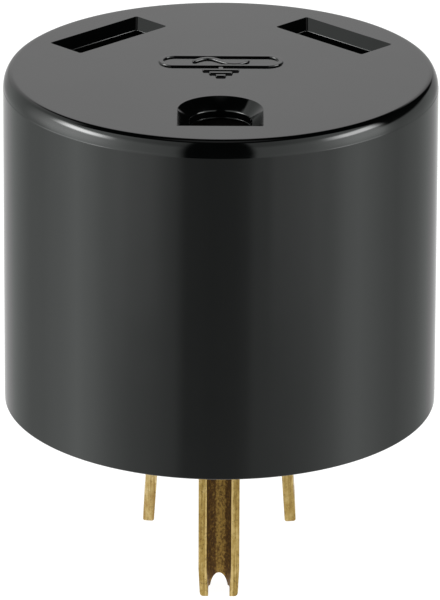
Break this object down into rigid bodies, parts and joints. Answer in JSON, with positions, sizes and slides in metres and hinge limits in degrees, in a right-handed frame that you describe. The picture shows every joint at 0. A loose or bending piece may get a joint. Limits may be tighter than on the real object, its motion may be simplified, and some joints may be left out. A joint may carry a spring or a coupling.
{
  "type": "power adapter",
  "caption": "Round plug-in power adapter: angled-slot trailer receptacle face on a three-prong plug, with sprung contacts, straps and rivets inside.",
  "frame": {"origin": "centre of the flat plug-side face, where the blades and the ground pin leave the body", "axes": "+Z along the body towards the receptacle face, the blades point to -Z, the ground hole and ground pin are on the -Y side, hot is on +X and neutral on -X"},
  "size_m": [0.0436, 0.0436, 0.0547],
  "materials": {
    "body_plastic": "smooth satin-gloss moulded black",
    "base_plastic": "satin moulded black",
    "carrier_plastic": "matte moulded black insulator",
    "fibre": "matte pressed vulcanised fibre",
    "prong_brass": "drawn and slightly tarnished",
    "contact_brass": "rolled sheet",
    "spring_bronze": "rolled phosphor bronze",
    "spring_steel": "blued strip",
    "screw_steel": "zinc plated"
  },
  "bodies": {
    "adapter": {"housing": "body_plastic", "plug_base": "base_plastic", "contact_carrier": "carrier_plastic", "insulating_disc": "fibre", "hot_blade": "prong_brass", "neutral_blade": "prong_brass", "ground_pin": "prong_brass", "hot_contact": "contact_brass", "neutral_contact": "contact_brass", "ground_contact": "contact_brass", "hot_strap": "contact_brass", "neutral_strap": "contact_brass", "ground_strap": "contact_brass", "prong_rivets": "contact_brass", "contact_rivets": "contact_brass", "base_screws": "screw_steel"},
    "hot_leaf": {"hot_contact_leaf": "spring_bronze", "hot_backing_spring": "spring_steel"},
    "neutral_leaf": {"neutral_contact_leaf": "spring_bronze", "neutral_backing_spring": "spring_steel"},
    "ground_leaf": {"ground_contact_leaf": "spring_bronze", "ground_backing_spring": "spring_steel"}
  },
  "joints": [
    {"name": "hot_leaf_spring", "type": "hinge", "parent": "adapter", "child": "hot_leaf", "pos_m": [0.009, 0.00792, 0.0134], "axis": [0.7071, -0.7071, 0], "range_deg": [0, 4], "stiffness_Nm_per_rad": 2},
    {"name": "neutral_leaf_spring", "type": "hinge", "parent": "adapter", "child": "neutral_leaf", "pos_m": [-0.009, 0.00792, 0.0134], "axis": [0.7071, 0.7071, 0], "range_deg": [0, 4], "stiffness_Nm_per_rad": 2},
    {"name": "ground_leaf_spring", "type": "hinge", "parent": "adapter", "child": "ground_leaf", "pos_m": [0, -0.00718, 0.0134], "axis": [-1, 0, 0], "range_deg": [0, 4], "stiffness_Nm_per_rad": 2}
  ]
}
